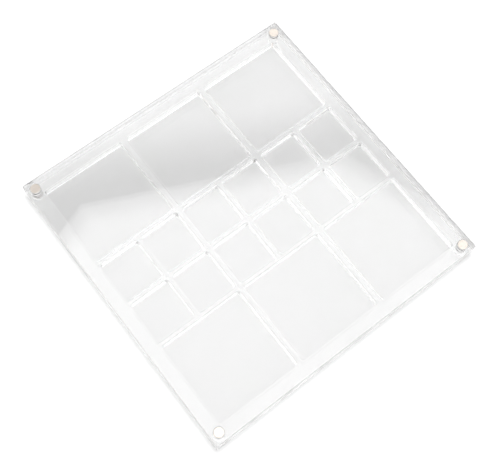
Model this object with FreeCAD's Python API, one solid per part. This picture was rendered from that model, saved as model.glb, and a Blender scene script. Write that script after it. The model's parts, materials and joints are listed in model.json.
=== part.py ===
"""Square clear acrylic mixing palette with eighteen wells and a lid held by corner magnets.

Three acrylic sheets lie on each other. The floor plate and the well grid are bonded into the base,
and the lid plate lies loose on top. Every sheet has a bore at each corner. Three disc magnets stand on
each other in each bore of the base, and one is in each bore of the lid.
Millimetres. The origin is the centre of the underside, +Z is up, +X runs to the right and
+Y to the rear, where the first row of large wells is.
"""
import FreeCAD, Part
import math
import os

# Size of every sheet seen from above
PALETTE_X = 190.0
PALETTE_Y = 190.0

# Thickness of the sheets, from the underside up
FLOOR_SHEET = 5.0
GRID_SHEET = 6.0
LID_SHEET = 4.0

# Wells: a row of large ones at the rear and at the front, rows of small ones between them
SMALL_WELL_Y = 27.2
LARGE_COLUMNS = 3
SMALL_ROWS = 2
WELL_CORNER = 1.5

# Ribs: between large wells, between the two small wells under one large well, and between rows
COLUMN_RIB = 4.2
SMALL_RIB = 3.4
ROW_RIB = 3.0

# Disc magnets and their bores
MAGNET_DIAMETER = 6.0
MAGNET_EDGE = 0.25
BORE_CLEARANCE = 0.05
MAGNET_PROUD = 0.1
BORE_EDGE_WALL = 2.5
BORE_WELL_WEB = 2.1
BASE_DISCS = ("lower", "middle", "upper")

# Worked edges of the sheets
PLATE_CORNER = 0.8
EDGE_BREAK = 0.3
RIM_BREAK = 0.6
BORE_BREAK = 0.4

half_x = PALETTE_X / 2
half_y = PALETTE_Y / 2

# The border round the wells is as wide as the bores need
bore_radius = MAGNET_DIAMETER / 2 + BORE_CLEARANCE
bore_inset = BORE_EDGE_WALL + bore_radius
border = bore_inset + (bore_radius + BORE_WELL_WEB) / math.sqrt(2)

# The large wells take what the border, the ribs and the rows of small wells leave
large_well_x = (PALETTE_X - 2 * border - (LARGE_COLUMNS - 1) * COLUMN_RIB) / LARGE_COLUMNS
large_well_y = (PALETTE_Y - 2 * border - SMALL_ROWS * SMALL_WELL_Y - (SMALL_ROWS + 1) * ROW_RIB) / 2
small_well_x = (large_well_x - SMALL_RIB) / 2

# Levels of the sheets: the magnets stand proud of the grid, and the lid lies on them
grid_level = FLOOR_SHEET
grid_top = grid_level + GRID_SHEET
lid_level = grid_top + MAGNET_PROUD

# The discs in one bore of the base share its depth evenly
base_disc = grid_top / len(BASE_DISCS)

CORNERS = {
    "rear_left": (-1, 1),
    "rear_right": (1, 1),
    "front_right": (1, -1),
    "front_left": (-1, -1),
}
TOLERANCE = 1e-4


def rounded_rectangle(low_x, low_y, high_x, high_y, radius, level):
    """Wire of a rectangle with rounded corners, at one height."""
    turn = radius * (1 - math.sqrt(0.5))

    def point(x, y):
        return FreeCAD.Vector(x, y, level)

    edges = [
        Part.makeLine(point(low_x + radius, low_y), point(high_x - radius, low_y)),
        Part.Arc(point(high_x - radius, low_y), point(high_x - turn, low_y + turn),
                 point(high_x, low_y + radius)).toShape(),
        Part.makeLine(point(high_x, low_y + radius), point(high_x, high_y - radius)),
        Part.Arc(point(high_x, high_y - radius), point(high_x - turn, high_y - turn),
                 point(high_x - radius, high_y)).toShape(),
        Part.makeLine(point(high_x - radius, high_y), point(low_x + radius, high_y)),
        Part.Arc(point(low_x + radius, high_y), point(low_x + turn, high_y - turn),
                 point(low_x, high_y - radius)).toShape(),
        Part.makeLine(point(low_x, high_y - radius), point(low_x, low_y + radius)),
        Part.Arc(point(low_x, low_y + radius), point(low_x + turn, low_y + turn),
                 point(low_x + radius, low_y)).toShape(),
    ]
    return Part.Wire(edges)


def bore_centre(corner, level):
    """Centre of one corner's bore, at one height."""
    side_x, side_y = CORNERS[corner]
    return FreeCAD.Vector(side_x * (half_x - bore_inset), side_y * (half_y - bore_inset), level)


def well_corners():
    """Lowest and highest corner of every well, row by row from the rear."""
    wells = []
    high_y = half_y - border
    for row in range(SMALL_ROWS + 2):
        large_row = row in (0, SMALL_ROWS + 1)
        low_y = high_y - (large_well_y if large_row else SMALL_WELL_Y)
        for column in range(LARGE_COLUMNS):
            low_x = border - half_x + column * (large_well_x + COLUMN_RIB)
            if large_row:
                wells.append((low_x, low_y, low_x + large_well_x, high_y))
                continue
            for half in range(2):
                left = low_x + half * (small_well_x + SMALL_RIB)
                wells.append((left, low_y, left + small_well_x, high_y))
        high_y = low_y - ROW_RIB
    return wells


def is_bore_edge(edge):
    """Whether an edge is the mouth of a magnet's bore."""
    return isinstance(edge.Curve, Part.Circle) and abs(edge.Curve.Radius - bore_radius) < TOLERANCE


def is_well_edge(edge):
    """Whether an edge lies round a well, inside the border."""
    centre = edge.CenterOfMass
    return (abs(centre.x) < half_x - border + TOLERANCE
            and abs(centre.y) < half_y - border + TOLERANCE)


def edges_at(solid, level):
    """Edges of a solid that lie flat at one height."""
    return [edge for edge in solid.Edges
            if all(abs(vertex.Z - level) < TOLERANCE for vertex in edge.Vertexes)]


def sheet(level, thickness, wells=()):
    """Acrylic sheet with a bore at each corner, the wells given and both outer edges broken."""
    outline = rounded_rectangle(-half_x, -half_y, half_x, half_y, PLATE_CORNER, level)
    holes = [rounded_rectangle(*corners, WELL_CORNER, level) for corners in wells]
    for corner in CORNERS:
        circle = Part.makeCircle(bore_radius, bore_centre(corner, level))
        holes.append(Part.Wire([circle]))
    face = Part.makeFace([outline] + holes, "Part::FaceMakerBullseye")
    solid = face.extrude(FreeCAD.Vector(0, 0, thickness))
    outer = [edge for face_level in (level, level + thickness) for edge in edges_at(solid, face_level)
             if not is_bore_edge(edge) and not is_well_edge(edge)]
    return solid.makeChamfer(EDGE_BREAK, outer)


def break_bores(solid, level):
    """Sheet with the mouths of its bores broken at one height."""
    mouths = [edge for edge in edges_at(solid, level) if is_bore_edge(edge)]
    return solid.makeChamfer(BORE_BREAK, mouths)


def floor_plate():
    """Sheet under the wells."""
    return break_bores(sheet(0, FLOOR_SHEET), 0)


def well_grid():
    """Sheet with the wells cut through it and their rims broken."""
    solid = break_bores(sheet(grid_level, GRID_SHEET, well_corners()), grid_top)
    rims = [edge for edge in edges_at(solid, grid_top) if is_well_edge(edge)]
    return solid.makeChamfer(RIM_BREAK, rims)


def lid_plate():
    """Loose cover sheet."""
    solid = break_bores(sheet(lid_level, LID_SHEET), lid_level)
    return break_bores(solid, lid_level + LID_SHEET)


def magnet(corner, level, length):
    """Disc magnet standing in one corner's bore, its plated edges rounded."""
    disc = Part.makeCylinder(MAGNET_DIAMETER / 2, length, bore_centre(corner, level))
    rims = edges_at(disc, level) + edges_at(disc, level + length)
    return disc.makeFillet(MAGNET_EDGE, rims)


def build():
    """Every node of the palette by name."""
    nodes = {"floor_plate": floor_plate(), "well_grid": well_grid(), "lid_plate": lid_plate()}
    for corner in CORNERS:
        for place, name in enumerate(BASE_DISCS):
            nodes[f"{name}_magnet_{corner}"] = magnet(corner, MAGNET_PROUD + place * base_disc, base_disc)
        nodes[f"lid_magnet_{corner}"] = magnet(corner, lid_level, LID_SHEET)
    return nodes


os.makedirs("parts", exist_ok=True)
for name, shape in build().items():
    shape.exportStep(f"parts/{name}.step")
    print(f"{name}: {len(shape.Solids)} solid, valid {shape.isValid()}, {shape.Volume:.1f} mm3")
print(f"large wells {large_well_x:.2f} x {large_well_y:.2f} mm, small wells {small_well_x:.2f} mm wide")
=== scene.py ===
"""Clear acrylic mixing palette on a white table: bonded base, loose lid and corner magnets, dressed and lit.

Metres, in the frame's own axes: the origin is the centre of the underside, +Z is up, and the first row
of large wells is at the rear, towards +Y.
"""
import json
import logging
import math
from dataclasses import dataclass, field
from enum import Enum
from typing import Any, Iterable, Sequence

import bmesh
import bpy
from mathutils import Matrix, Vector


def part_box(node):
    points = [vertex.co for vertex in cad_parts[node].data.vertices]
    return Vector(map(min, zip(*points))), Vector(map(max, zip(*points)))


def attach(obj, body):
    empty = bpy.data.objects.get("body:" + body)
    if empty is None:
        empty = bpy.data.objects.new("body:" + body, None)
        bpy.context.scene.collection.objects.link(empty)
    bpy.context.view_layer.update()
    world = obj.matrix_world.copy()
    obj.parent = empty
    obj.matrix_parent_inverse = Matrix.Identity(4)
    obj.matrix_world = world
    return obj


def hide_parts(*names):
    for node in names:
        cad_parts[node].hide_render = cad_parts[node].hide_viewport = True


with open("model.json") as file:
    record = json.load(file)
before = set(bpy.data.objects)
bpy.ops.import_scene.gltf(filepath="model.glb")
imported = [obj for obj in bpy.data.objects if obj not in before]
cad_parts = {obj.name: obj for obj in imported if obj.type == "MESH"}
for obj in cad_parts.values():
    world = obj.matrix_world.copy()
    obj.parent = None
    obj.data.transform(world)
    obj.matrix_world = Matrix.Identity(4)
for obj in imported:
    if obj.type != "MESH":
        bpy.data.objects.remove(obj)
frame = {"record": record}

LOG = logging.getLogger("palette")
MM = 0.001
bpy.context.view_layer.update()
WHITE = (1.0, 1.0, 1.0)

Colour = tuple[float, float, float]
Ring = list[bmesh.types.BMEdge]
Step = tuple[float, float]
Span = tuple[float, float]


class Corner(Enum):
    """The four corners, each with a stack of magnets."""

    REAR_LEFT = "rear_left"
    REAR_RIGHT = "rear_right"
    FRONT_RIGHT = "front_right"
    FRONT_LEFT = "front_left"


class Layer(Enum):
    """The magnets of one stack from the lowest up, and the body that each rides on."""

    LOWER = ("lower", "base")
    MIDDLE = ("middle", "base")
    UPPER = ("upper", "base")
    LID = ("lid", "lid")

    @property
    def label(self) -> str:
        """Word that starts the names of this layer's magnets."""
        return self.value[0]

    @property
    def body(self) -> str:
        """Body that this layer moves with."""
        return self.value[1]

    @property
    def top(self) -> float:
        """Level of the upper faces of this layer's magnets."""
        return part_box(f"{self.label}_magnet_{Corner.REAR_LEFT.value}")[1].z


# Joints in the base with a dark ring of painted shade for the gap between two discs, each named by the magnet
# under it
SHADED_JOINTS = {
    Corner.REAR_LEFT: (Layer.LOWER, Layer.MIDDLE),
    Corner.FRONT_RIGHT: (Layer.MIDDLE,),
}


class Slot(Enum):
    """Material slots of the record."""

    ACRYLIC = "clear_acrylic"
    NICKEL = "nickel"


class Shade:
    """One output socket of a material, with arithmetic that adds Math nodes."""

    def __init__(self, board: "Board", socket: bpy.types.NodeSocket) -> None:
        """Wraps a socket.

        Args:
            board: Node board that the socket belongs to.
            socket: Output socket to wrap.
        """
        self.board = board
        self.socket = socket

    def _math(self, operation: str, *values: Any) -> "Shade":
        """Adds one Math node.

        Args:
            operation: Blender's name of the operation.
            values: Numbers or shades for its inputs.

        Returns:
            The node's result.
        """
        return self.board.node("ShaderNodeMath", {"operation": operation}, dict(enumerate(values)))

    def __add__(self, other: Any) -> "Shade":
        """Sum of this and another value."""
        return self._math("ADD", self, other)

    def __radd__(self, other: Any) -> "Shade":
        """Sum of another value and this."""
        return self._math("ADD", other, self)

    def __sub__(self, other: Any) -> "Shade":
        """This less another value."""
        return self._math("SUBTRACT", self, other)

    def __rsub__(self, other: Any) -> "Shade":
        """Another value less this."""
        return self._math("SUBTRACT", other, self)

    def __mul__(self, other: Any) -> "Shade":
        """Product of this and another value."""
        return self._math("MULTIPLY", self, other)

    def __rmul__(self, other: Any) -> "Shade":
        """Product of another value and this."""
        return self._math("MULTIPLY", other, self)

    def __abs__(self) -> "Shade":
        """Size of this value."""
        return self._math("ABSOLUTE", self)

    def largest(self, other: Any) -> "Shade":
        """The larger of this and another value."""
        return self._math("MAXIMUM", self, other)

    def between(self, low: float, high: float) -> "Shade":
        """Smooth step of this value.

        Args:
            low: Value that gives 0.
            high: Value that gives 1.

        Returns:
            A shade from 0 to 1.
        """
        return self.board.node("ShaderNodeMapRange", {"interpolation_type": "SMOOTHSTEP"},
                               {"Value": self, "From Min": low, "From Max": high})


class Board:
    """Node tree of one material or world, with one method that adds every node."""

    def __init__(self, owner: bpy.types.Material | bpy.types.World) -> None:
        """Starts with no nodes.

        Args:
            owner: New material or world that the nodes belong to.
        """
        owner.use_nodes = True
        self.owner = owner
        self.tree = owner.node_tree
        self.tree.nodes.clear()

    @classmethod
    def material(cls, name: str) -> "Board":
        """Board of a new material."""
        return cls(bpy.data.materials.new(name))

    def node(self, kind: str, settings: dict[str, Any] | None = None,
             inputs: dict[Any, Any] | None = None, output: str | int = 0) -> Shade:
        """Adds a node.

        Args:
            kind: Blender's type of the node.
            settings: Properties to set first, such as an operation.
            inputs: Values or shades by the input's name or number.
            output: Name or number of the output to give back.

        Returns:
            The chosen output.
        """
        made = self.tree.nodes.new(kind)
        for key, value in (settings or {}).items():
            setattr(made, key, value)
        for key, value in (inputs or {}).items():
            if isinstance(value, Shade):
                self.tree.links.new(value.socket, made.inputs[key])
            else:
                made.inputs[key].default_value = value
        return Shade(self, made.outputs[output] if made.outputs else None)

    def place(self, scale: Sequence[float] = (1.0, 1.0, 1.0),
              centre: Sequence[float] = (0.0, 0.0, 0.0)) -> Shade:
        """Object coordinates, moved and scaled.

        Args:
            scale: Factor along each axis.
            centre: Point that becomes the origin.

        Returns:
            The coordinates as a vector.
        """
        spot = self.node("ShaderNodeTexCoord", output="Object")
        shift = [-part * factor for part, factor in zip(centre, scale)]
        return self.node("ShaderNodeMapping", inputs={"Vector": spot, "Location": shift, "Scale": scale})

    def axes(self, vector: Shade) -> list[Shade]:
        """The X, Y and Z of a vector."""
        parts = self.node("ShaderNodeSeparateXYZ", inputs={0: vector}).socket.node
        return [Shade(self, part) for part in parts.outputs]

    def heading(self, vector: Shade, towards: Sequence[float]) -> Shade:
        """How far a vector points in one direction.

        Args:
            vector: The vector.
            towards: The direction.

        Returns:
            The vector's part in that direction.
        """
        return self.node("ShaderNodeVectorMath", {"operation": "DOT_PRODUCT"},
                         {0: vector, 1: towards}, output=1)

    def noise(self, vector: Shade, scale: float, detail: float) -> Shade:
        """Noise from 0 to 1.

        Args:
            vector: Coordinates.
            scale: Lumps for each metre of the coordinates.
            detail: Octaves.

        Returns:
            The noise.
        """
        return self.node("ShaderNodeTexNoise", inputs={"Vector": vector, "Scale": scale, "Detail": detail})

    def mix(self, factor: Shade, first: Any, second: Any) -> Shade:
        """Mix of two colours.

        Args:
            factor: Share of the second colour.
            first: Colour at 0.
            second: Colour at 1.

        Returns:
            The mixed colour.
        """
        return self.node("ShaderNodeMix", {"data_type": "RGBA"},
                         {0: factor, 6: first, 7: second}, output=2)

    def bump(self, height: Shade, distance: float, strength: float) -> Shade:
        """Normal from a height.

        Args:
            height: Height from 0 to 1.
            distance: Depth of a height of 1.
            strength: Share of the bump that shows.

        Returns:
            The normal.
        """
        return self.node("ShaderNodeBump", inputs={
            "Height": height, "Distance": distance, "Strength": strength})

    def finish(self, surface: Shade) -> bpy.types.Material:
        """Joins a surface shader to the output.

        Args:
            surface: Shader of the surface.

        Returns:
            The finished material.
        """
        self.node("ShaderNodeOutputMaterial", inputs={"Surface": surface})
        return self.owner


def opaque(colour: Colour) -> tuple[float, float, float, float]:
    """A colour with full alpha."""
    return (*colour, 1.0)


class Grain(Enum):
    """Direction in which a tool has left its marks, as stretch of the pattern along X, Y and Z."""

    POLISHED = (1.0, 1.0, 1.0)
    SAWN = (1.0, 1.0, 0.04)
    MILLED = (1.0, 1.0, 0.06)
    DRILLED = (0.1, 0.1, 1.0)


@dataclass(frozen=True)
class AcrylicFinish:
    """One kind of face on a sheet of cast acrylic, from clear and polished to the dark painted shade of rings
    and strips.
    """

    name: str
    grain: Grain
    tint: Colour = (0.99, 0.99, 0.99)
    cloudy_tint: Colour = (0.985, 0.988, 0.985)
    refraction: float = 1.491
    clarity: float = 1.0
    # Strength of a white glow painted onto the face, as painted light
    painted_glow: float = 0.0
    clean: float = 0.004
    scuffed: float = 0.015
    mark_pitch: float = 0.5 * MM
    mark_depth: float = 0.004 * MM
    mark_strength: float = 0.2
    mark_octaves: float = 2.0
    cloud_density: float = 40.0
    cloud_octaves: float = 4.0
    cloud_span: Span = (0.45, 0.75)
    scuff_stretch: float = 0.02
    scuff_octaves: float = 1.0
    fine_density: float = 2500.0
    fine_span: Span = (0.72, 0.8)
    cross_density: float = 2100.0
    cross_span: Span = (0.74, 0.82)

    def material(self) -> bpy.types.Material:
        """Makes the material.

        Returns:
            The finished material.
        """
        board = Board.material(self.name)
        marks = board.noise(board.place(self.grain.value), 1.0 / self.mark_pitch, self.mark_octaves)
        cloud = board.noise(board.place(), self.cloud_density, self.cloud_octaves).between(*self.cloud_span)
        along = board.place((1.0, self.scuff_stretch, 1.0))
        across = board.place((self.scuff_stretch, 1.0, 1.0))
        fine = board.noise(along, self.fine_density, self.scuff_octaves).between(*self.fine_span)
        cross = board.noise(across, self.cross_density, self.scuff_octaves).between(*self.cross_span)
        scuffs = fine.largest(cross) * cloud
        colour = board.mix(cloud, opaque(self.tint), opaque(self.cloudy_tint))
        roughness = self.clean + self.scuffed * scuffs
        normal = board.bump(marks, self.mark_depth, self.mark_strength)
        # Emission paints a faint white glow onto the face, light that no lamp gives
        return board.finish(board.node("ShaderNodeBsdfPrincipled", inputs={
            "Base Color": colour, "Roughness": roughness, "Normal": normal,
            "IOR": self.refraction, "Transmission Weight": self.clarity,
            "Emission Color": opaque(WHITE), "Emission Strength": self.painted_glow}))


@dataclass(frozen=True)
class NickelFinish:
    """Nickel plating on a disc magnet, faintly tarnished."""

    name: str
    centre: tuple[float, float, float]
    bright: Colour = (0.64, 0.585, 0.535)
    tarnish: Colour = (0.58, 0.525, 0.47)
    clean: float = 0.19
    worn: float = 0.08
    peel_pitch: float = 0.35 * MM
    peel_depth: float = 0.006 * MM
    peel_strength: float = 0.3
    peel_octaves: float = 2.0
    cloud_density: float = 700.0
    cloud_octaves: float = 3.0
    tarnish_span: Span = (0.35, 0.75)
    wear_span: Span = (0.4, 0.8)
    scratch_share: float = 0.6
    scratch_stretch: float = 0.03
    scratch_density: float = 6000.0
    scratch_octaves: float = 1.0
    scratch_span: Span = (0.66, 0.8)

    def material(self) -> bpy.types.Material:
        """Makes the material.

        Returns:
            The finished material.
        """
        board = Board.material(self.name)
        spot = board.place(centre=self.centre)
        cloud = board.noise(spot, self.cloud_density, self.cloud_octaves)
        peel = board.noise(spot, 1.0 / self.peel_pitch, self.peel_octaves)
        along = board.place((1.0, self.scratch_stretch, 1.0), self.centre)
        scratch = board.noise(along, self.scratch_density, self.scratch_octaves).between(*self.scratch_span)
        colour = board.mix(cloud.between(*self.tarnish_span), opaque(self.bright), opaque(self.tarnish))
        roughness = self.clean + self.worn * (cloud.between(*self.wear_span) + self.scratch_share * scratch)
        return board.finish(board.node("ShaderNodeBsdfPrincipled", inputs={
            "Base Color": colour, "Roughness": roughness, "Metallic": 1.0,
            "Normal": board.bump(peel, self.peel_depth, self.peel_strength)}))


@dataclass(frozen=True)
class RoundedRectangle:
    """Outline with rounded corners, seen from above."""

    low: tuple[float, float]
    high: tuple[float, float]
    corner: float
    segments: int = 10

    def ring(self, mesh: bmesh.types.BMesh, grow: float, level: float) -> Ring:
        """Adds the outline to a mesh as a closed loop.

        Args:
            mesh: Mesh that takes the loop.
            grow: Distance by which the loop lies outside the outline.
            level: Height of the loop.

        Returns:
            The edges of the loop.
        """
        middle = [(low + high) / 2 for low, high in zip(self.low, self.high)]
        half = [(high - low) / 2 + grow for low, high in zip(self.low, self.high)]
        there = Matrix.Translation((*middle, level)) @ Matrix.Diagonal((*half, 1.0, 1.0))
        known = set(mesh.faces)
        square = bmesh.ops.create_grid(mesh, x_segments=1, y_segments=1, size=1.0, matrix=there)
        bmesh.ops.bevel(mesh, geom=square["verts"], offset=self.corner + grow, offset_type="OFFSET",
                        affect="VERTICES", segments=self.segments, profile=0.5, material=-1)
        return open_ring(mesh, known)


@dataclass(frozen=True)
class Circle:
    """Round outline, seen from above."""

    centre: tuple[float, float]
    radius: float
    segments: int = 64

    def ring(self, mesh: bmesh.types.BMesh, grow: float, level: float) -> Ring:
        """Adds the circle to a mesh as a closed loop.

        Args:
            mesh: Mesh that takes the loop.
            grow: Distance by which the loop lies outside the circle.
            level: Height of the loop.

        Returns:
            The edges of the loop.
        """
        known = set(mesh.faces)
        bmesh.ops.create_circle(mesh, cap_ends=True, segments=self.segments, radius=self.radius + grow,
                                matrix=Matrix.Translation((*self.centre, level)))
        return open_ring(mesh, known)


def open_ring(mesh: bmesh.types.BMesh, known: set[bmesh.types.BMFace]) -> Ring:
    """Takes away the one new face of a mesh and keeps its edges.

    Args:
        mesh: Mesh with the new face.
        known: Faces that were there before.

    Returns:
        The edges of the face.
    """
    face = next(face for face in mesh.faces if face not in known)
    edges = list(face.edges)
    bmesh.ops.delete(mesh, geom=[face], context="FACES_ONLY")
    return edges


def round_edge(start: Step, turn: Step, end: Step, parts: int = 3) -> list[Step]:
    """Steps round an edge, from one tangent point to the other.

    Args:
        start: Growth and level where the round starts.
        turn: Growth and level of the sharp corner.
        end: Growth and level where the round ends.
        parts: Facets of the round.

    Returns:
        The steps, both ends included.
    """
    first = Vector(start) - Vector(turn)
    last = Vector(end) - Vector(turn)
    centre = Vector(turn) + first + last
    steps = []
    for part in range(parts + 1):
        angle = math.pi / 2 * part / parts
        steps.append(tuple(centre - last * math.cos(angle) - first * math.sin(angle)))
    return steps


class Surface(Enum):
    """Kinds of face on an acrylic sheet, numbered as its material slots are."""

    POLISHED = 0
    FLAMED = 1
    TRIMMED = 2
    SAWN = 3
    MILLED = 4
    DRILLED = 5
    JOINT_SHADE = 6
    SHADED_FLOOR = 7
    EDGE_SHADE = 8


ACRYLIC = {
    Surface.POLISHED: AcrylicFinish("acrylic_polished_face", Grain.POLISHED, mark_pitch=25.0 * MM,
                                    mark_depth=0.01 * MM, mark_strength=0.15),
    # Flamed and trimmed edges carry a grey tint of painted shade that darkens the bands seen at the outer
    # edges
    Surface.FLAMED: AcrylicFinish("acrylic_flamed_edge", Grain.SAWN, clean=0.01, scuffed=0.01,
                                  tint=(0.8, 0.8, 0.8), cloudy_tint=(0.79, 0.79, 0.79),
                                  mark_pitch=1.2 * MM, mark_depth=0.0001 * MM),
    Surface.TRIMMED: AcrylicFinish("acrylic_trimmed_edge", Grain.SAWN, clarity=0.75, clean=0.02, scuffed=0.02,
                                   tint=(0.8, 0.8, 0.8), cloudy_tint=(0.79, 0.79, 0.79),
                                   mark_pitch=1.2 * MM, mark_depth=0.0001 * MM),
    # Sawn edge: rough, with a darker grey diffuse tint that paints the shade of the dark band along the
    # right-hand edge
    Surface.SAWN: AcrylicFinish("acrylic_sawn_edge", Grain.SAWN, clarity=0.45, clean=0.3, scuffed=0.05,
                                tint=(0.7, 0.7, 0.7), cloudy_tint=(0.68, 0.68, 0.68),
                                mark_pitch=1.2 * MM, mark_depth=0.0001 * MM),
    # Milled walls glow faintly white: painted light for light scattered by the frosted walls, with a faint
    # grey tint that dims their bright bands
    Surface.MILLED: AcrylicFinish("acrylic_milled_wall", Grain.MILLED, painted_glow=0.06, clean=0.13, scuffed=0.03,
                                  tint=(0.97, 0.97, 0.97), cloudy_tint=(0.96, 0.96, 0.96),
                                  mark_pitch=0.9 * MM, mark_depth=0.0001 * MM),
    Surface.DRILLED: AcrylicFinish("acrylic_drilled_bore", Grain.DRILLED, clean=0.05, scuffed=0.02,
                                   mark_pitch=0.4 * MM, mark_depth=0.0001 * MM),
    # Opaque dark brown rings on the bore walls: painted shade of the gaps between the discs
    Surface.JOINT_SHADE: AcrylicFinish("brown_glue", Grain.DRILLED, clarity=0.0, clean=0.5, scuffed=0.1,
                                 tint=(0.075, 0.055, 0.045), cloudy_tint=(0.06, 0.045, 0.035),
                                 mark_pitch=0.4 * MM, mark_depth=0.0001 * MM),
    # Well floors tinted grey: painted shade that makes the wells look darker than the ribs and border
    Surface.SHADED_FLOOR: AcrylicFinish("acrylic_stained_floor", Grain.POLISHED, tint=(0.89, 0.89, 0.89),
                                   cloudy_tint=(0.88, 0.88, 0.878), mark_pitch=25.0 * MM,
                                   mark_depth=0.01 * MM, mark_strength=0.15),
    # Opaque dark grey strip along the top of the lid's rear edge: painted shade of the dark line there
    Surface.EDGE_SHADE: AcrylicFinish("acrylic_scraped_line", Grain.POLISHED, clarity=0.0, clean=0.5,
                                   scuffed=0.05, tint=(0.18, 0.18, 0.18),
                                   cloudy_tint=(0.16, 0.16, 0.16), mark_depth=0.0001 * MM),
}


class SheetMesh:
    """Acrylic sheet built from walls, each a stack of bridged outlines, and flat faces that close it."""

    def __init__(self) -> None:
        """Starts an empty mesh."""
        self.mesh = bmesh.new()

    def wall(self, outline: RoundedRectangle | Circle, steps: Iterable[Step],
             surface: Surface) -> tuple[Ring, Ring]:
        """Builds a wall from its first level to its last.

        Args:
            outline: Outline that the wall follows.
            steps: Growth and level of each loop.
            surface: Kind of face.

        Returns:
            The first and the last loop.
        """
        rings = [outline.ring(self.mesh, grow, level) for grow, level in steps]
        for lower, upper in zip(rings, rings[1:]):
            band = bmesh.ops.bridge_loops(self.mesh, edges=lower + upper)
            for face in band["faces"]:
                face.material_index = surface.value
        return rings[0], rings[-1]

    def mark(self, low: Sequence[float], high: Sequence[float], surface: Surface) -> None:
        """Gives another finish to the faces whose middle lies in a box.

        Args:
            low: Lowest corner of the box.
            high: Highest corner of the box.
            surface: Kind of face.
        """
        for face in self.mesh.faces:
            spot = face.calc_center_median()
            if all(start < part < end for start, part, end in zip(low, spot, high)):
                face.material_index = surface.value

    def cover(self, rings: Iterable[Ring], surface: Surface = Surface.POLISHED) -> None:
        """Closes a flat face between loops at one level.

        Args:
            rings: The outer loop and any loops inside it.
            surface: Kind of face.
        """
        edges = [edge for ring in rings for edge in ring]
        fill = bmesh.ops.triangle_fill(self.mesh, use_beauty=True, use_dissolve=False, edges=edges)
        for part in fill["geom"]:
            if isinstance(part, bmesh.types.BMFace):
                part.material_index = surface.value

    def piece(self, name: str, materials: Sequence[bpy.types.Material]) -> bpy.types.Object:
        """Turns the mesh into an object at the origin.

        Args:
            name: Name of the piece.
            materials: Materials in the order of the kinds of face.

        Returns:
            The object.
        """
        return as_object(self.mesh, name, materials)


def as_object(mesh: bmesh.types.BMesh, name: str, materials: Sequence[bpy.types.Material],
              flat: float = 0.0) -> bpy.types.Object:
    """Turns the faces of a mesh outward, shades them and links the mesh to the scene.

    Args:
        mesh: Mesh to finish, freed here.
        name: Name of the object.
        materials: Its materials.
        flat: Largest part of a normal from which a face is shaded flat, or 0 for every face.

    Returns:
        The object.
    """
    bmesh.ops.recalc_face_normals(mesh, faces=mesh.faces)
    mesh.normal_update()
    for face in mesh.faces:
        face.smooth = max(abs(part) for part in face.normal) < flat
    data = bpy.data.meshes.new(name)
    mesh.to_mesh(data)
    mesh.free()
    for material in materials:
        data.materials.append(material)
    made = bpy.data.objects.new(name, data)
    bpy.context.scene.collection.objects.link(made)
    return made


def settle(piece: bpy.types.Object, body: str, nodes: Sequence[str]) -> None:
    """Rides a piece on its body in place of the nodes that it stands for, and reports it.

    Args:
        piece: The piece.
        body: Body that it moves with.
        nodes: Nodes that it stands for.
    """
    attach(piece, body)
    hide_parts(*nodes)
    LOG.info("%s rides on %s for %s, %d faces", piece.name, body, ", ".join(nodes),
             len(piece.data.polygons))


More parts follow.
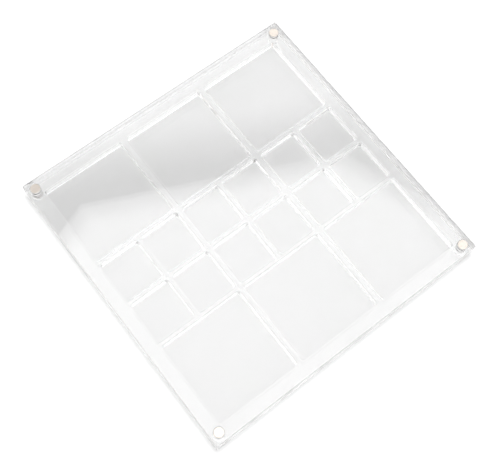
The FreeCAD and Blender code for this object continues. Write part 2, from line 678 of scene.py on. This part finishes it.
@dataclass
class AcrylicSheet:
    """What the sheets share: the outline, the bores and the worked edges."""

    plate_corner: float = 0.8 * MM
    edge_break: float = 0.1 * MM
    bore_clearance: float = 0.05 * MM
    bore_break: float = 0.2 * MM
    shade_ring_height: float = 1.6 * MM
    materials: list[bpy.types.Material] = field(default_factory=list)

    def outline(self, node: str) -> RoundedRectangle:
        """Outline of a sheet.

        Args:
            node: Node of the sheet.

        Returns:
            Its outline.
        """
        low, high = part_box(node)
        return RoundedRectangle(tuple(low.xy), tuple(high.xy), self.plate_corner)

    def bore(self, corner: Corner) -> Circle:
        """Outline of one corner's bore, a little wider than its magnets.

        Args:
            corner: The corner.

        Returns:
            The outline.
        """
        low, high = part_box(f"{Layer.LID.label}_magnet_{corner.value}")
        centre = (low + high) / 2
        return Circle(tuple(centre.xy), (high.x - low.x) / 2 + self.bore_clearance)

    def edge_up(self, level: float) -> list[Step]:
        """Rounded lower edge of an outer wall that starts at a level."""
        reach = self.edge_break
        return round_edge((-reach, level), (0.0, level), (0.0, level + reach))

    def edge_down(self, level: float) -> list[Step]:
        """Rounded upper edge of an outer wall that ends at a level."""
        reach = self.edge_break
        return round_edge((0.0, level - reach), (0.0, level), (-reach, level))

    def drill(self, sheet: SheetMesh, corner: Corner, bottom: float, top: float,
              shade_feet: Sequence[float]) -> tuple[Ring, Ring]:
        """Adds one corner's bore, with broken mouths and dark rings of painted shade for the gaps between
        discs.

        Args:
            sheet: Mesh that takes the bore.
            corner: The corner.
            bottom: Level of the lower mouth.
            top: Level of the upper mouth.
            shade_feet: Level of the foot of each dark ring of painted shade, from the lowest up.

        Returns:
            The lower and the upper mouth.
        """
        reach = self.bore_break
        outline = self.bore(corner)
        steps = [(reach, bottom), (0.0, bottom + reach)]
        for foot in shade_feet:
            steps += [(0.0, foot), (0.0, foot + self.shade_ring_height)]
        mouths = sheet.wall(outline, [*steps, (0.0, top - reach), (reach, top)], Surface.DRILLED)
        low, high = ([part + side * outline.radius for part in outline.centre] for side in (-1, 1))
        # Paints a dark ring of shade on the bore wall where two discs meet
        for foot in shade_feet:
            sheet.mark([*low, foot], [*high, foot + self.shade_ring_height], Surface.JOINT_SHADE)
        return mouths

    def finish_edges(self, sheet: SheetMesh, outline: RoundedRectangle, bottom: float, shaded_sawn_from: float,
                     top: float) -> None:
        """Flames the rear edge, and leaves the upper part of the right-hand one as the saw left it, in a
        darker grey that paints the shade on that side.

        Args:
            sheet: Mesh with those edges.
            outline: Outline of the sheet.
            bottom: Lower level of the flamed edge.
            shaded_sawn_from: Lower level of the sawn edge with its darker grey of painted shade.
            top: Upper level of both.
        """
        left, front = (part - self.edge_break for part in outline.low)
        right, rear = (part + self.edge_break for part in outline.high)
        # The flamed rear edge keeps the grey tint of painted shade
        sheet.mark((left, rear - 2 * self.edge_break, bottom), (right, rear, top), Surface.FLAMED)
        # The darker grey of the sawn finish paints the shade along the upper right-hand edge
        sheet.mark((right - 2 * self.edge_break, front, shaded_sawn_from), (right, rear, top), Surface.SAWN)


@dataclass
class BondedBase(AcrylicSheet):
    """Floor plate and well grid, bonded so that light passes their joint as if it weren't there."""

    well_corner: float = 1.5 * MM
    rim_break: float = 0.6 * MM
    rim_facets: int = 8
    cement_fillet: float = 0.2 * MM
    box_inset: float = 0.5 * MM

    def wells(self) -> list[RoundedRectangle]:
        """Outlines of the wells, from the openings that the record states."""
        outlines = []
        for opening in frame["record"]["physics"]["openings"]:
            low, high = opening["box_m"]
            outlines.append(RoundedRectangle(
                (low[0] - self.box_inset, low[1] - self.box_inset),
                (high[0] + self.box_inset, high[1] + self.box_inset), self.well_corner))
        return outlines

    def build(self) -> bpy.types.Object:
        """Builds and settles the base.

        Returns:
            The base.
        """
        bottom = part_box("floor_plate")[0].z
        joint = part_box("well_grid")[0].z
        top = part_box("well_grid")[1].z
        sheet = SheetMesh()
        outer = [*self.edge_up(bottom), *self.edge_down(joint),
                 *self.edge_up(joint)[1:], *self.edge_down(top)]
        outline = self.outline("well_grid")
        # Outer walls take the trimmed finish, with its grey tint of painted shade
        under, over = sheet.wall(outline, outer, Surface.TRIMMED)
        self.finish_edges(sheet, outline, bottom, joint, top)
        lower_rings, upper_rings = [under], [over]
        for corner in Corner:
            # Rings of painted shade for the gaps between the discs of this stack
            shade_feet = [layer.top - self.shade_ring_height / 2 for layer in SHADED_JOINTS.get(corner, ())]
            mouth, rim = self.drill(sheet, corner, bottom, top, shade_feet)
            lower_rings.append(mouth)
            upper_rings.append(rim)
        for well in self.wells():
            foot = round_edge((-self.cement_fillet, joint), (0.0, joint),
                              (0.0, joint + self.cement_fillet))
            lip = round_edge((0.0, top - self.rim_break), (0.0, top), (self.rim_break, top),
                             self.rim_facets)
            ground, rim = sheet.wall(well, [*foot, *lip], Surface.MILLED)
            sheet.mark((*(part - self.rim_break for part in well.low), top - self.rim_break),
                       (*(part + self.rim_break for part in well.high), top), Surface.POLISHED)
            # Floors of the wells take the grey tint of painted shade
            sheet.cover([ground], Surface.SHADED_FLOOR)
            upper_rings.append(rim)
        sheet.cover(lower_rings)
        sheet.cover(upper_rings)
        base = sheet.piece("bonded_base", self.materials)
        settle(base, "base", ["floor_plate", "well_grid"])
        return base


@dataclass
class LooseLid(AcrylicSheet):
    """Cover sheet that lies loose on the base, with a dark strip of painted shade along the top of its rear
    edge.
    """

    shade_rise: float = 0.3 * MM
    shade_strip: float = 0.45 * MM
    face_slack: float = 0.001 * MM

    def build(self) -> bpy.types.Object:
        """Builds and settles the lid.

        Returns:
            The lid.
        """
        bottom, top = (corner.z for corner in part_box("lid_plate"))
        sheet = SheetMesh()
        outline = self.outline("lid_plate")
        outer = [*self.edge_up(bottom), *self.edge_down(top), (-self.shade_strip, top)]
        # Outer walls take the trimmed finish, with its grey tint of painted shade
        under, over = sheet.wall(outline, outer, Surface.TRIMMED)
        self.finish_edges(sheet, outline, bottom, bottom, top)
        left, front = outline.low
        rear = outline.high[1]
        under_face, far_corner = top - self.face_slack, (*outline.high, top + self.face_slack)
        sheet.mark((left, front, under_face), far_corner, Surface.POLISHED)
        # Paints a dark strip of shade along the top of the rear edge
        sheet.mark((left, rear - self.shade_strip, under_face), far_corner, Surface.EDGE_SHADE)
        lower_rings, upper_rings = [under], [over]
        for corner in Corner:
            # The ring near the foot of the lid's bore paints the shade of the gap between lid and base
            mouth, rim = self.drill(sheet, corner, bottom, top, [bottom + self.shade_rise])
            lower_rings.append(mouth)
            upper_rings.append(rim)
        sheet.cover(lower_rings)
        sheet.cover(upper_rings)
        lid = sheet.piece("lid_sheet", self.materials)
        settle(lid, "lid", ["lid_plate"])
        return lid


@dataclass
class MagnetStack:
    """Disc magnets of one corner, three in the base and one in the lid."""

    corner: Corner
    plated_edge: float = 0.25 * MM
    facets: int = 72
    edge_facets: int = 4
    flat_face: float = 0.99999

    def build(self) -> list[bpy.types.Object]:
        """Builds and settles the discs.

        Returns:
            The discs, lowest first.
        """
        return [self.disc(layer) for layer in Layer]

    def disc(self, layer: Layer) -> bpy.types.Object:
        """Builds and settles one disc.

        Args:
            layer: Place of the disc in the stack.

        Returns:
            The disc.
        """
        node = f"{layer.label}_magnet_{self.corner.value}"
        low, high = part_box(node)
        middle = (low + high) / 2
        radius = (high.x - low.x) / 2
        mesh = bmesh.new()
        bmesh.ops.create_cone(mesh, cap_ends=True, cap_tris=False, segments=self.facets, radius1=radius,
                              radius2=radius, depth=high.z - low.z, matrix=Matrix.Translation(middle))
        rims = [edge for edge in mesh.edges if edge.verts[0].co.z == edge.verts[1].co.z]
        bmesh.ops.bevel(mesh, geom=rims, offset=self.plated_edge, offset_type="OFFSET", affect="EDGES",
                        segments=self.edge_facets, profile=0.5, material=-1)
        finish = NickelFinish(f"nickel_{layer.label}_{self.corner.value}", tuple(middle))
        disc = as_object(mesh, f"{layer.label}_disc_{self.corner.value}", [finish.material()], self.flat_face)
        settle(disc, layer.body, [node])
        return disc


@dataclass
class Studio:
    """White table, eight-sided soft light overhead, pale room and the camera."""

    table_side: float = 8.0
    table_gap: float = 0.1 * MM
    table_white: float = 0.25
    table_mottle: float = 0.02
    table_density: float = 3.0
    table_octaves: float = 2.0
    table_roughness: float = 0.8
    table_glow: float = 0.475
    room_near: Colour = (2.1, 2.1, 2.1)
    room_far: Colour = (0.7, 0.7, 0.7)
    room_heading: tuple[float, float, float] = (math.sqrt(0.5), math.sqrt(0.5), 0.0)
    room_depth: Span = (-0.6, 0.6)
    room_high: Colour = (1.7, 1.7, 1.7)
    room_rise: Span = (0.25, 0.85)
    room_dim: Colour = (1.45, 1.45, 1.45)
    dim_heading: tuple[float, float, float] = (-0.5, 0.866, 0.0)
    dim_reach: Span = (0.1, 0.34)
    lamp_power: float = 13.0
    lamp_width: float = 0.25
    lamp_drop: float = 0.05
    light_sides: int = 8
    light_height: float = 1.0
    light_apothem: float = 0.566
    light_centre: tuple[float, float] = (0.0269, -0.1327)
    light_turn: float = math.radians(65.33)
    light_core: Colour = (2.15, 2.15, 2.15)
    light_rim: Colour = (1.15, 1.15, 1.15)
    rim_width: float = 0.045
    rim_blur: float = 0.002
    lip_width: float = 0.14
    lip_plain: float = 0.0175
    lip_dark: Colour = (0.28, 0.28, 0.28)
    lip_pale: Colour = (0.55, 0.55, 0.55)
    lip_turn: Span = (-0.12, 0.18)
    lens: float = 67.76
    sensor: float = 36.0
    aim: tuple[float, float] = (-7.02 * MM, -10.48 * MM)
    distance: float = 547.56 * MM
    azimuth: float = math.radians(-43.12)
    elevation: float = math.radians(69.515)
    roll: float = math.radians(-5.713)
    nearest: float = 0.01
    clear_bounces: int = 32
    glossy_bounces: int = 24
    diffuse_bounces: int = 4

    def build(self) -> None:
        """Sets the table, the lights, the room and the camera."""
        self.table()
        self.soft_light()
        self.room()
        self.lamp()
        self.camera()
        self.exposure()

    def table(self) -> bpy.types.Object:
        """White table top, just under the palette.

        Returns:
            The table.
        """
        board = Board.material("table_white")
        cloud = board.noise(board.place(), self.table_density, self.table_octaves)
        white = opaque((self.table_white,) * 3)
        off_white = opaque((self.table_white - self.table_mottle,) * 3)
        surface = board.node("ShaderNodeBsdfPrincipled", inputs={
            "Base Color": board.mix(cloud, white, off_white),
            "Roughness": self.table_roughness, "Specular IOR Level": 0.0,
            "Emission Color": opaque(WHITE), "Emission Strength": self.table_glow})
        mesh = bmesh.new()
        bmesh.ops.create_grid(mesh, x_segments=1, y_segments=1, size=self.table_side / 2,
                              matrix=Matrix.Translation((0.0, 0.0, -self.table_gap)))
        return as_object(mesh, "table_top", [board.finish(surface)])

    def soft_light(self) -> bpy.types.Object:
        """Eight-sided soft light that faces down, with a dark lip that fades out.

        Returns:
            The light.
        """
        board = Board.material("soft_light")
        across, along, _ = board.axes(board.place())
        slant = math.sqrt(0.5)
        reach = abs(across).largest(abs(along)).largest(abs((across + along) * slant))
        reach = reach.largest(abs((across - along) * slant))
        edge = self.light_apothem
        inside = 1.0 - reach.between(edge - self.rim_blur, edge + self.rim_blur)
        dimming = reach.between(edge - self.rim_width, edge)
        fade = reach.between(edge + self.lip_plain, edge + self.lip_width)
        glow = board.mix(dimming, opaque(self.light_core), opaque(self.light_rim))
        hot = board.node("ShaderNodeEmission", inputs={"Color": glow, "Strength": 1.0})
        lip_tone = board.mix(along.between(*self.lip_turn), opaque(self.lip_dark),
                             opaque(self.lip_pale))
        lip = board.node("ShaderNodeEmission", inputs={"Color": lip_tone, "Strength": 1.0})
        clear = board.node("ShaderNodeBsdfTransparent")
        outside = board.node("ShaderNodeMixShader", inputs={0: fade, 1: lip, 2: clear})
        front = board.node("ShaderNodeMixShader", inputs={0: inside, 1: outside, 2: hot})
        half_side = math.pi / self.light_sides
        mesh = bmesh.new()
        bmesh.ops.create_circle(mesh, cap_ends=True, segments=self.light_sides,
                                radius=(self.light_apothem + self.lip_width) / math.cos(half_side))
        bmesh.ops.rotate(mesh, matrix=Matrix.Rotation(half_side, 3, "Z"), verts=mesh.verts)
        light = as_object(mesh, "soft_light", [board.finish(front)])
        light.location = (*self.light_centre, self.light_height)
        light.rotation_euler = (math.pi, 0.0, self.light_turn)
        light.visible_camera = False
        return light

    def room(self) -> None:
        """Pale room: low down bright near by and dark far off, and overhead dimmer to one side."""
        board = Board(bpy.data.worlds.new("pale_room"))
        spot = board.node("ShaderNodeTexCoord", output="Generated")
        away = board.heading(spot, self.room_heading)
        aside = board.heading(spot, self.dim_heading)
        height = board.axes(spot)[2]
        low = board.mix(away.between(*self.room_depth), opaque(self.room_near), opaque(self.room_far))
        high = board.mix(aside.between(*self.dim_reach), opaque(self.room_high), opaque(self.room_dim))
        colour = board.mix(height.between(*self.room_rise), low, high)
        back = board.node("ShaderNodeBackground", inputs={"Color": colour, "Strength": 1.0})
        board.node("ShaderNodeOutputWorld", inputs={"Surface": back})
        bpy.context.scene.world = board.owner

    def lamp(self) -> None:
        """Lamp straight above that whitens the open table and shows in no reflection."""
        data = bpy.data.lights.new("table_lamp", "AREA")
        data.shape = "DISK"
        data.size = self.lamp_width
        data.energy = self.lamp_power
        lamp = bpy.data.objects.new("table_lamp", data)
        lamp.location = (0.0, 0.0, self.light_height - self.lamp_drop)
        lamp.visible_camera = False
        lamp.visible_glossy = False
        lamp.visible_transmission = False
        bpy.context.scene.collection.objects.link(lamp)

    def camera(self) -> None:
        """Camera at the photograph's place, turned about its own axis as there."""
        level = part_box("lid_plate")[1].z
        aim = Vector((*self.aim, level))
        level_view = math.cos(self.elevation)
        forward = Vector((-math.sin(self.azimuth) * level_view, math.cos(self.azimuth) * level_view,
                          -math.sin(self.elevation)))
        right = forward.cross(Vector((0.0, 0.0, 1.0))).normalized()
        upright = right.cross(forward)
        up = upright * math.cos(self.roll) + right * math.sin(self.roll)
        side = forward.cross(up)
        turn = Matrix((side, up, -forward)).transposed().to_4x4()
        data = bpy.data.cameras.new("camera")
        data.lens = self.lens
        data.sensor_width = self.sensor
        data.clip_start = self.nearest
        camera = bpy.data.objects.new("camera", data)
        camera.matrix_world = Matrix.Translation(aim - forward * self.distance) @ turn
        bpy.context.scene.collection.objects.link(camera)
        bpy.context.scene.camera = camera

    def exposure(self) -> None:
        """Plain tones, and enough bounces for light to pass every sheet twice."""
        scene = bpy.context.scene
        scene.view_settings.view_transform = "Standard"
        scene.view_settings.look = "None"
        scene.cycles.max_bounces = self.clear_bounces
        scene.cycles.transmission_bounces = self.clear_bounces
        scene.cycles.glossy_bounces = self.glossy_bounces
        scene.cycles.diffuse_bounces = self.diffuse_bounces
        scene.cycles.blur_glossy = 0.0


def main() -> None:
    """Builds the palette and its studio, and reports each piece."""
    logging.basicConfig(level=logging.INFO, format="%(name)s: %(message)s")
    materials = [ACRYLIC[surface].material() for surface in Surface]
    pieces = [BondedBase(materials=materials).build(), LooseLid(materials=materials).build()]
    for corner in Corner:
        pieces += MagnetStack(corner).build()
    Studio().build()
    LOG.info("%d pieces in all", len(pieces))


if __name__ == "__main__":
    main()
